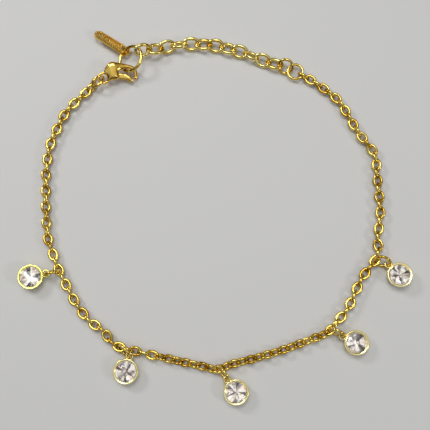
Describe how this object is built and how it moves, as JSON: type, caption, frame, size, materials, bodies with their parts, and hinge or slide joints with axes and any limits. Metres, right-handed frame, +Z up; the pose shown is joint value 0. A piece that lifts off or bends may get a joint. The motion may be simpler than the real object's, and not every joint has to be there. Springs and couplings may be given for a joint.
{
  "type": "charm bracelet",
  "caption": "Fine gold-coloured cable-chain bracelet with round stone charms on jump rings, a lobster clasp, an extender and a small tag, laid out as a loop.",
  "frame": {"origin": "middle of the underside of the loop's bounding box, on the surface that it lies on", "axes": "+Z up out of the surface; +Y towards the clasp and extender; +X to the right as seen from above with the clasp at the top"},
  "size_m": [0.076, 0.0754, 0.0038],
  "materials": {
    "chain_left": "polished gold plating",
    "chain_right": "polished gold plating",
    "extender_chain": "polished gold plating",
    "end_ring": "polished gold plating",
    "link_ring": "polished gold plating",
    "tag_ring": "polished gold plating",
    "tag": "polished gold plating",
    "clasp_ring": "polished gold plating",
    "clasp_body": "polished gold plating",
    "clasp_lever": "polished gold plating",
    "charm_ring_1": "polished gold plating",
    "charm_1": "polished gold plating",
    "charm_ring_2": "polished gold plating",
    "charm_2": "polished gold plating",
    "charm_ring_3": "polished gold plating",
    "charm_3": "polished gold plating",
    "charm_ring_4": "polished gold plating",
    "charm_4": "polished gold plating",
    "charm_ring_5": "polished gold plating",
    "charm_5": "polished gold plating"
  },
  "bodies": {
    "bracelet": {"chain_left": "chain_left", "chain_right": "chain_right", "extender_chain": "extender_chain", "end_ring": "end_ring", "link_ring": "link_ring", "tag_ring": "tag_ring", "tag": "tag", "clasp_ring": "clasp_ring", "clasp_body": "clasp_body", "charm_ring_1": "charm_ring_1", "charm_1": "charm_1", "charm_ring_2": "charm_ring_2", "charm_2": "charm_2", "charm_ring_3": "charm_ring_3", "charm_3": "charm_3", "charm_ring_4": "charm_ring_4", "charm_4": "charm_4", "charm_ring_5": "charm_ring_5", "charm_5": "charm_5"},
    "lever": {"clasp_lever": "clasp_lever"}
  },
  "joints": [
    {"name": "lever_hinge", "type": "hinge", "parent": "bracelet", "child": "lever", "pos_m": [-0.02043, 0.02737, 0.00163], "axis": [0.1675, -0.3053, 0.9374], "range_deg": [0, 12], "stiffness_Nm_per_rad": 0.0001, "springref_deg": -2.86}
  ]
}
